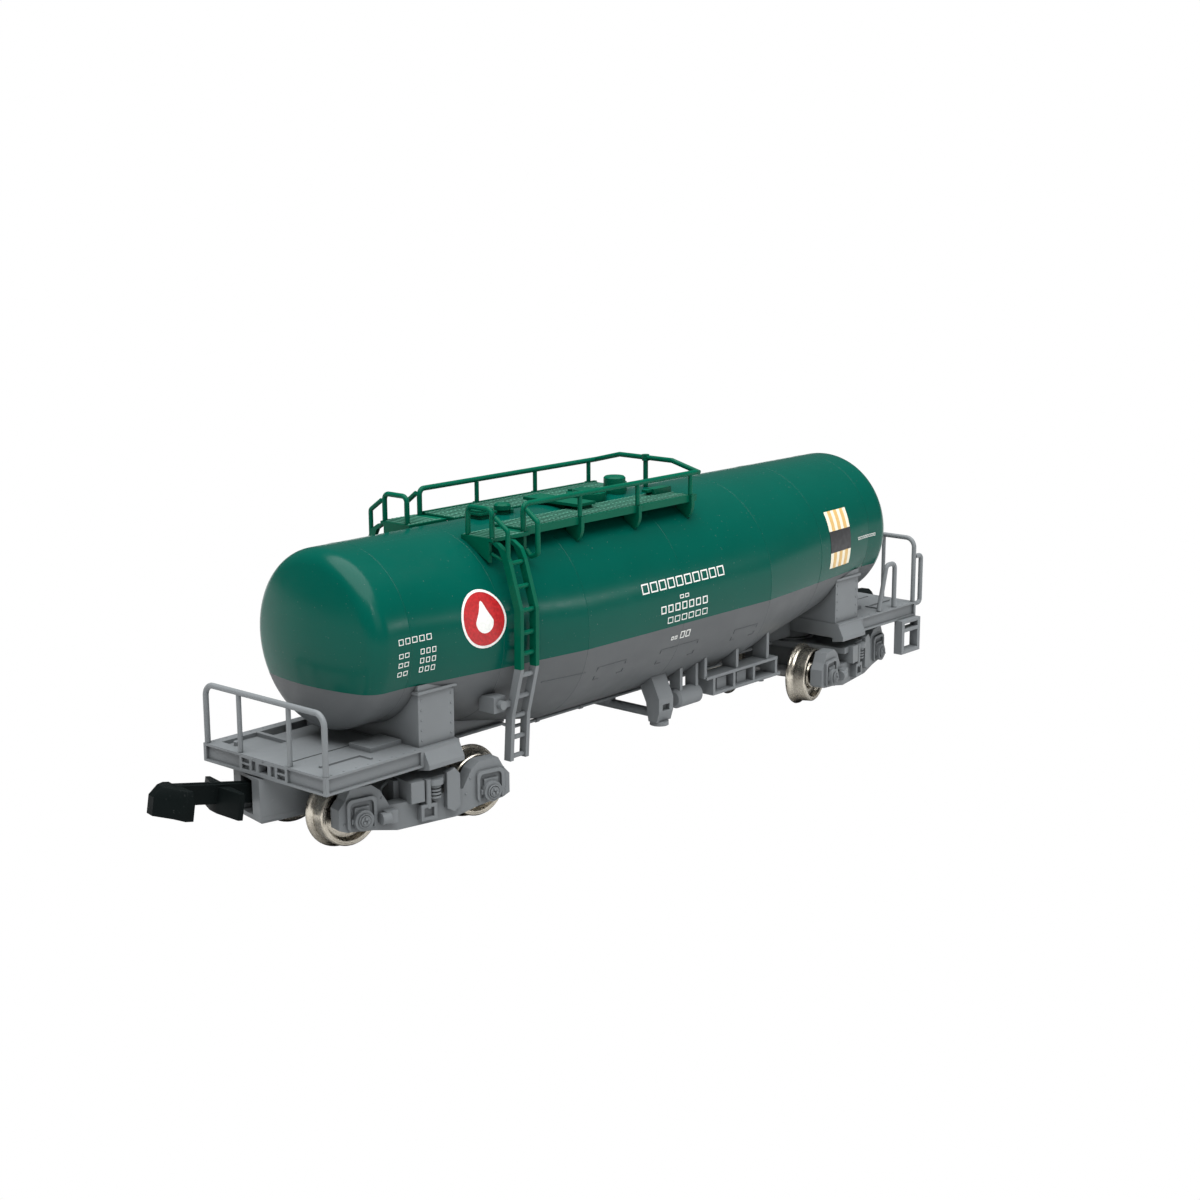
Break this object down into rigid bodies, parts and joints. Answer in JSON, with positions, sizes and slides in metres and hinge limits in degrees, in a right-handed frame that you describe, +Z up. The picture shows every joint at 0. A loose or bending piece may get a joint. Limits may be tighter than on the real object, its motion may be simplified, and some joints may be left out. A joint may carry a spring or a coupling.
{
  "type": "model tank wagon",
  "caption": "Scale model bogie tank wagon: tapered two-tone tank on saddles, roof walkway, ladders, end platforms, swivelling bogies with free wheelsets and sprung hook couplers.",
  "frame": {"origin": "under the middle of the wagon, in the plane through the bottoms of the wheel flanges", "axes": "+X along the wagon towards the end with the corner steps, +Y to the side without the equipment rack, +Z up"},
  "size_m": [0.1017, 0.02, 0.0278],
  "materials": {
    "tank_green": "satin",
    "fittings_green": "satin",
    "tank_grey": "satin",
    "frame_grey": "satin",
    "bogie_grey": "satin",
    "coupler_black": "semi-matt",
    "bush_black": "matt",
    "wheel_nickel": "blackened nickel plate",
    "axle_steel": "turned",
    "pin_steel": "plated",
    "spring_steel": "drawn wire",
    "ballast_steel": "plain"
  },
  "bodies": {
    "body": {"air_reservoir": "frame_grey", "ballast_weight": "ballast_steel", "brake_cylinder": "frame_grey", "centre_sills": "frame_grey", "corner_steps": "frame_grey", "discharge_outlets": "frame_grey", "discharge_pipe": "frame_grey", "end_deck_left": "frame_grey", "end_deck_right": "frame_grey", "end_rail_left": "frame_grey", "end_rail_right": "frame_grey", "equipment_rack": "frame_grey", "grab_loops": "frame_grey", "handrail_end": "fittings_green", "handrail_far": "fittings_green", "handrail_near": "fittings_green", "king_pin_left": "pin_steel", "king_pin_right": "pin_steel", "ladder_clips": "frame_grey", "ladder_hoops_far": "fittings_green", "ladder_hoops_near": "fittings_green", "ladder_lower_far": "frame_grey", "ladder_lower_near": "frame_grey", "ladder_platform_far": "fittings_green", "ladder_platform_near": "fittings_green", "ladder_upper_far": "fittings_green", "ladder_upper_near": "fittings_green", "manhole_cover": "fittings_green", "relief_valve": "fittings_green", "saddle_left": "frame_grey", "saddle_right": "frame_grey", "safety_valve": "fittings_green", "sampling_hatch": "fittings_green", "side_hoops": "frame_grey", "tank_lower_shell": "tank_grey", "tank_upper_shell": "tank_green", "valve_box": "fittings_green", "vent_cap": "fittings_green", "walkway_far": "fittings_green", "walkway_near": "fittings_green"},
    "bogie_left": {"bogie_frame_left": "bogie_grey", "pocket_cover_left": "bogie_grey"},
    "wheelset_outer_left": {"axle_outer_left": "axle_steel", "wheels_outer_left": "wheel_nickel", "bushes_outer_left": "bush_black"},
    "wheelset_inner_left": {"axle_inner_left": "axle_steel", "wheels_inner_left": "wheel_nickel", "bushes_inner_left": "bush_black"},
    "coupler_carrier_left": {"coupler_spring_left": "spring_steel"},
    "coupler_left": {"coupler_left": "coupler_black"},
    "bogie_right": {"bogie_frame_right": "bogie_grey", "pocket_cover_right": "bogie_grey"},
    "wheelset_outer_right": {"axle_outer_right": "axle_steel", "wheels_outer_right": "wheel_nickel", "bushes_outer_right": "bush_black"},
    "wheelset_inner_right": {"axle_inner_right": "axle_steel", "wheels_inner_right": "wheel_nickel", "bushes_inner_right": "bush_black"},
    "coupler_carrier_right": {"coupler_spring_right": "spring_steel"},
    "coupler_right": {"coupler_right": "coupler_black"}
  },
  "joints": [
    {"name": "bogie_swivel_left", "type": "hinge", "parent": "body", "child": "bogie_left", "pos_m": [-0.02992, 0, 0.0057], "axis": [0, 0, 1], "range_deg": [-4.3, 26.7]},
    {"name": "wheel_spin_outer_left", "type": "hinge", "parent": "bogie_left", "child": "wheelset_outer_left", "pos_m": [-0.03613, 0.00123, 0.0032], "axis": [0.1942, 0.981, 0], "continuous": true},
    {"name": "wheel_spin_inner_left", "type": "hinge", "parent": "bogie_left", "child": "wheelset_inner_left", "pos_m": [-0.02371, -0.00123, 0.0032], "axis": [0.1942, 0.981, 0], "continuous": true},
    {"name": "coupler_swing_left", "type": "hinge", "parent": "bogie_left", "child": "coupler_carrier_left", "pos_m": [-0.04071, 0.00214, 0.0048], "axis": [0, 0, 1], "range_deg": [-9, 9], "stiffness_Nm_per_rad": 0.0002},
    {"name": "coupler_lift_left", "type": "hinge", "parent": "coupler_carrier_left", "child": "coupler_left", "pos_m": [-0.04071, 0.00214, 0.0048], "axis": [0.1942, 0.981, 0], "range_deg": [-15, 4], "stiffness_Nm_per_rad": 0.0004},
    {"name": "bogie_swivel_right", "type": "hinge", "parent": "body", "child": "bogie_right", "pos_m": [0.02992, 0, 0.0057], "axis": [0, 0, 1], "range_deg": [-26.7, 4.3]},
    {"name": "wheel_spin_outer_right", "type": "hinge", "parent": "bogie_right", "child": "wheelset_outer_right", "pos_m": [0.03613, 0.00123, 0.0032], "axis": [0.1942, -0.981, 0], "continuous": true},
    {"name": "wheel_spin_inner_right", "type": "hinge", "parent": "bogie_right", "child": "wheelset_inner_right", "pos_m": [0.02371, -0.00123, 0.0032], "axis": [0.1942, -0.981, 0], "continuous": true},
    {"name": "coupler_swing_right", "type": "hinge", "parent": "bogie_right", "child": "coupler_carrier_right", "pos_m": [0.04071, 0.00214, 0.0048], "axis": [0, 0, 1], "range_deg": [-9, 9], "stiffness_Nm_per_rad": 0.0002},
    {"name": "coupler_lift_right", "type": "hinge", "parent": "coupler_carrier_right", "child": "coupler_right", "pos_m": [0.04071, 0.00214, 0.0048], "axis": [0.1942, -0.981, 0], "range_deg": [-15, 4], "stiffness_Nm_per_rad": 0.0004}
  ]
}
